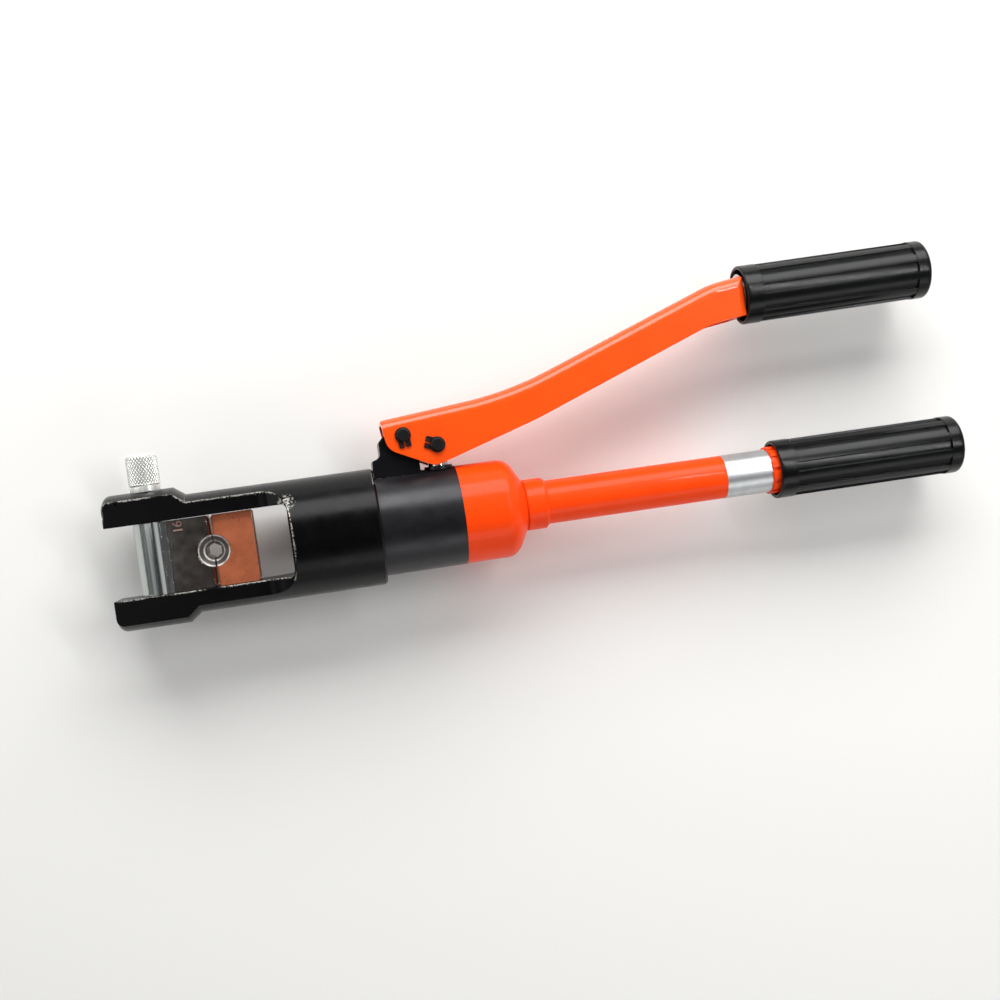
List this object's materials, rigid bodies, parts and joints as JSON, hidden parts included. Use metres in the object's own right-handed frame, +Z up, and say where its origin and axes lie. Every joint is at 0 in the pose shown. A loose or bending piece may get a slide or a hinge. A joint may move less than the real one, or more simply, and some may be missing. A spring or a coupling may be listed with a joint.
{
  "type": "hydraulic crimping tool",
  "caption": "Hand-pumped hydraulic crimping tool with a forked die head, a latch pin with a knurled knob, a pump lever and two ribbed grips.",
  "frame": {"origin": "middle of the box that holds the tool, on the surface it lies on", "axes": "+X along the tool from the head to the grips, +Y from the fixed handle to the lever, +Z up"},
  "size_m": [0.5254, 0.171, 0.07],
  "materials": {
    "black_paint": "gloss",
    "orange_paint": "gloss",
    "die_plating": "bright plated",
    "anvil_chrome": "polished",
    "knob_nickel": "satin, diamond knurled",
    "ground_steel": "ground",
    "blackened_steel": "blackened",
    "gland_steel": "turned",
    "ball_steel": "polished",
    "spring_steel": "drawn",
    "seal_rubber": "moulded",
    "backup_plastic": "turned",
    "grip_plastic": "semi-gloss moulded",
    "foil": "satin foil"
  },
  "bodies": {
    "frame": {"yoke_head": "black_paint", "yoke_lock_screw": "blackened_steel", "anvil": "anvil_chrome", "upper_die": "die_plating", "latch_detent_ball": "ball_steel", "latch_detent_spring": "spring_steel", "latch_detent_screw": "blackened_steel", "cylinder_body": "black_paint", "rod_wiper": "seal_rubber", "lever_bracket": "black_paint", "plunger_gland": "gland_steel", "plunger_seal": "seal_rubber", "check_valve_balls": "ball_steel", "check_valve_springs": "spring_steel", "outlet_valve_retainer": "gland_steel", "inlet_valve_seat": "gland_steel", "relief_ball": "ball_steel", "relief_spring": "spring_steel", "relief_screw": "gland_steel", "reservoir_housing": "orange_paint"},
    "latch": {"latch_pin": "ground_steel", "latch_knob": "knob_nickel"},
    "lower_die": {"lower_die": "die_plating"},
    "ram": {"ram": "ground_steel", "piston_seal": "seal_rubber", "piston_backup_ring": "backup_plastic", "ram_return_spring": "spring_steel"},
    "lever": {"lever_channel": "orange_paint", "lever_tube": "ground_steel", "upper_grip": "grip_plastic", "lever_pivot_pin": "blackened_steel", "plunger_pin": "blackened_steel", "e_clips": "blackened_steel"},
    "plunger": {"pump_plunger": "ground_steel"},
    "handle": {"handle_tube": "orange_paint", "handle_o_ring": "seal_rubber", "handle_retaining_nut": "gland_steel", "release_spindle": "ground_steel", "oil_bladder": "seal_rubber", "tube_end_plug": "gland_steel", "grip_lock_ring": "orange_paint", "foil_band": "foil", "lower_grip": "grip_plastic"}
  },
  "joints": [
    {"name": "latch_pull", "type": "slide", "parent": "frame", "child": "latch", "axis": [0, 1, 0], "range_m": [0, 0.08]},
    {"name": "ram_stroke", "type": "slide", "parent": "frame", "child": "ram", "axis": [-1, 0, 0], "range_m": [0, 0.02], "deforming": ["ram_return_spring"]},
    {"name": "lower_die_slide", "type": "slide", "parent": "frame", "child": "lower_die", "axis": [-1, 0, 0], "range_m": [-0.018, 0.001]},
    {"name": "lever_swing", "type": "hinge", "parent": "frame", "child": "lever", "pos_m": [-0.0852, 0.00626, 0.035], "axis": [0, 0, 1], "range_deg": [-12, 28]},
    {"name": "plunger_stroke", "type": "slide", "parent": "frame", "child": "plunger", "axis": [0, 1, 0], "range_m": [-0.0045, 0.0105]},
    {"name": "release_twist", "type": "hinge", "parent": "frame", "child": "handle", "pos_m": [-0.0172, -0.04553, 0.035], "axis": [1, 0, 0], "range_deg": [0, 60]}
  ],
  "couplings": [
    {"joint": "plunger_stroke", "follows": "lever_swing", "m_per_rad": 0.02}
  ]
}
